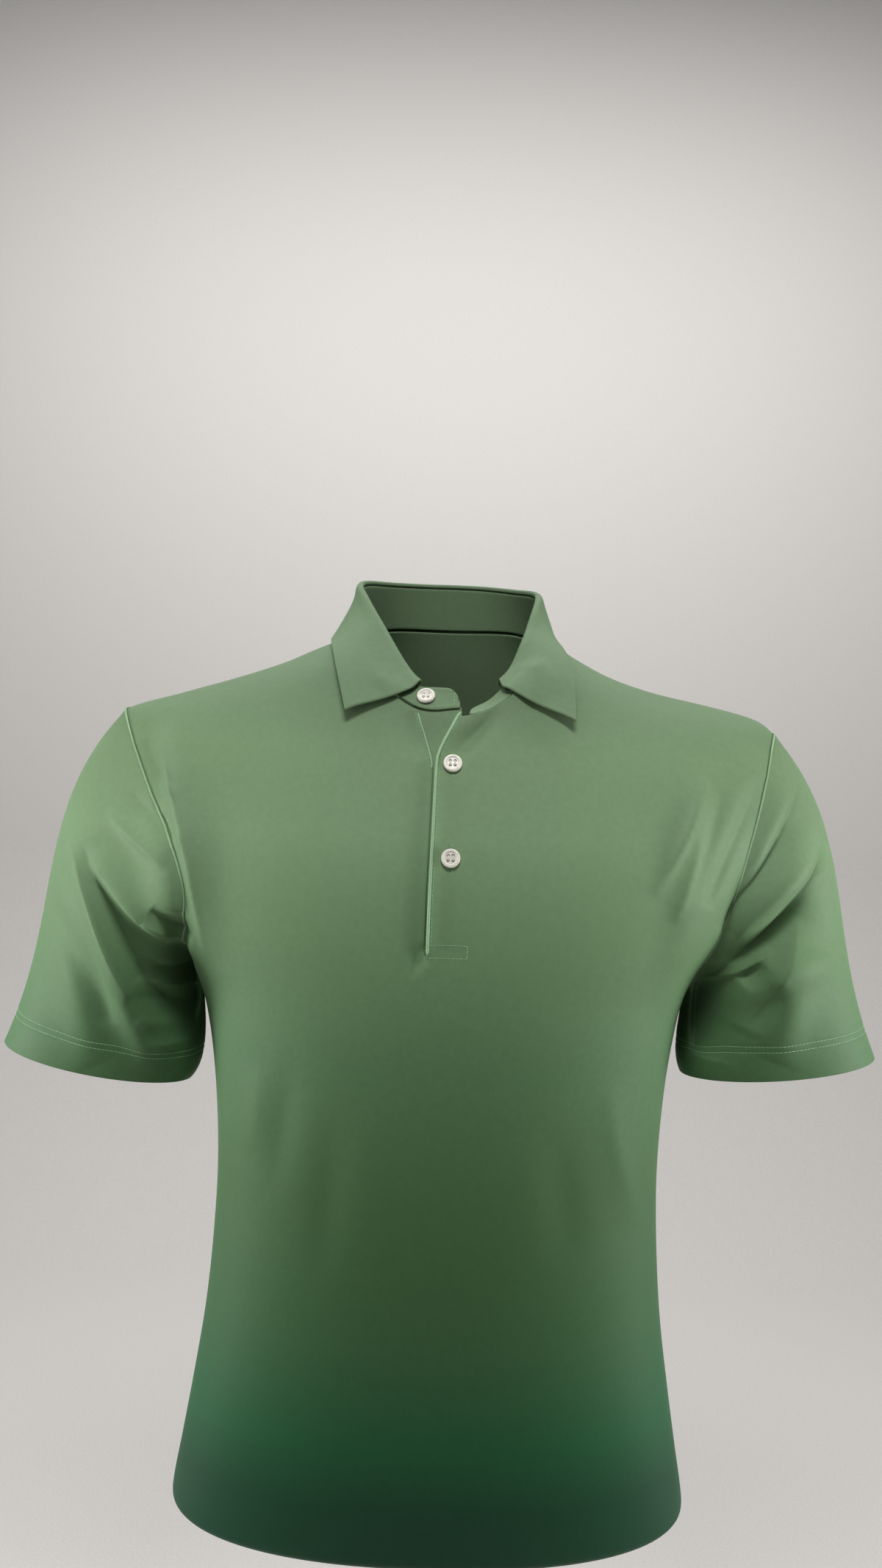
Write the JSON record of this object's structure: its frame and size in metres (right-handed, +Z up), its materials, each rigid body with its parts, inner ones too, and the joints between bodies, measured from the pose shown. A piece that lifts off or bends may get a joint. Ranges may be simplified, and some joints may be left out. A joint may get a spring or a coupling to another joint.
{
  "type": "polo shirt",
  "caption": "Hollow worn short-sleeved polo shirt in smooth stretch jersey, with turned-down collar on a stand, open neck and buttoned placket.",
  "frame": {"origin": "centre of the neck opening, level with the points where the collar meets the shoulders", "axes": "+Z up the wearer's body, -Y out of the chest, +X to the wearer's left"},
  "size_m": [0.5977, 0.2271, 0.6421],
  "materials": {
    "jersey": "smooth knitted jersey with a faint sheen",
    "button": "pale grey moulded resin, satin"
  },
  "bodies": {
    "root": {"front": "jersey", "back": "jersey", "sleeve_left": "jersey", "sleeve_right": "jersey", "collar_stand": "jersey", "collar": "jersey", "placket_under": "jersey", "button_middle": "button", "button_lower": "button", "button_top": "button"}
  },
  "joints": []
}
